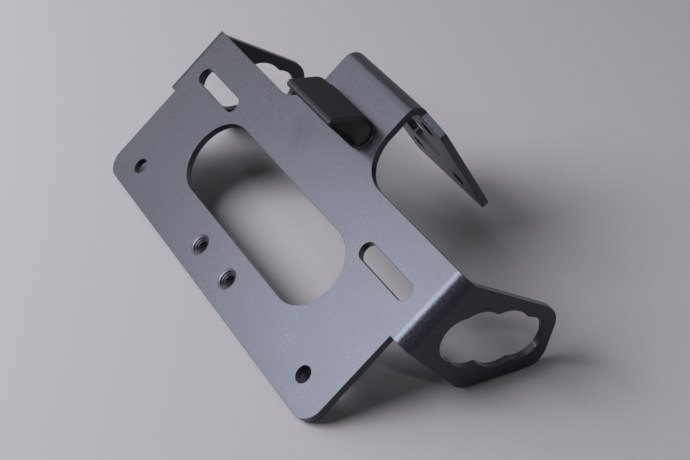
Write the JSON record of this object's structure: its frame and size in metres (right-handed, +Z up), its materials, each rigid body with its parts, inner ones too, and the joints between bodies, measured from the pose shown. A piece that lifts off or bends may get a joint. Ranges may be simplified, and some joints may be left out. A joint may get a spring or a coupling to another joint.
{
  "type": "motorcycle tail tidy with plate light",
  "caption": "Folded sheet bracket that hangs a number plate under a motorcycle's tail, with lobed side ears for indicators and a hooded plate light on its tongue.",
  "frame": {"origin": "on the flange's upper face, midway between its two front holes", "axes": "+X across the motorcycle towards the right ear as the plate is read, +Y forwards from the show face into the plate, +Z up along the plate; the flange slopes 9.1 degrees down towards +Y"},
  "size_m": [0.1952, 0.0841, 0.1066],
  "materials": {
    "coat": "fine textured satin powder coat, dark blue-grey with a faint metallic sheen",
    "hood_plastic": "satin moulded black",
    "lens_clear": "clear, polished",
    "rubber_black": "dull black",
    "board_black": "black solder mask",
    "lamp_white": "pale yellow resin",
    "insert_brass": "turned",
    "fixing_steel": "black plated"
  },
  "bodies": {
    "root": {"bracket": "coat", "light_housing": "hood_plastic", "light_lens": "lens_clear", "light_gasket": "rubber_black", "lead_grommet": "rubber_black", "light_board": "board_black", "lamp_left": "lamp_white", "lamp_centre": "lamp_white", "lamp_right": "lamp_white", "insert_left": "insert_brass", "insert_right": "insert_brass", "light_screw_left": "fixing_steel", "light_screw_right": "fixing_steel", "light_washer_left": "fixing_steel", "light_washer_right": "fixing_steel"}
  },
  "joints": []
}
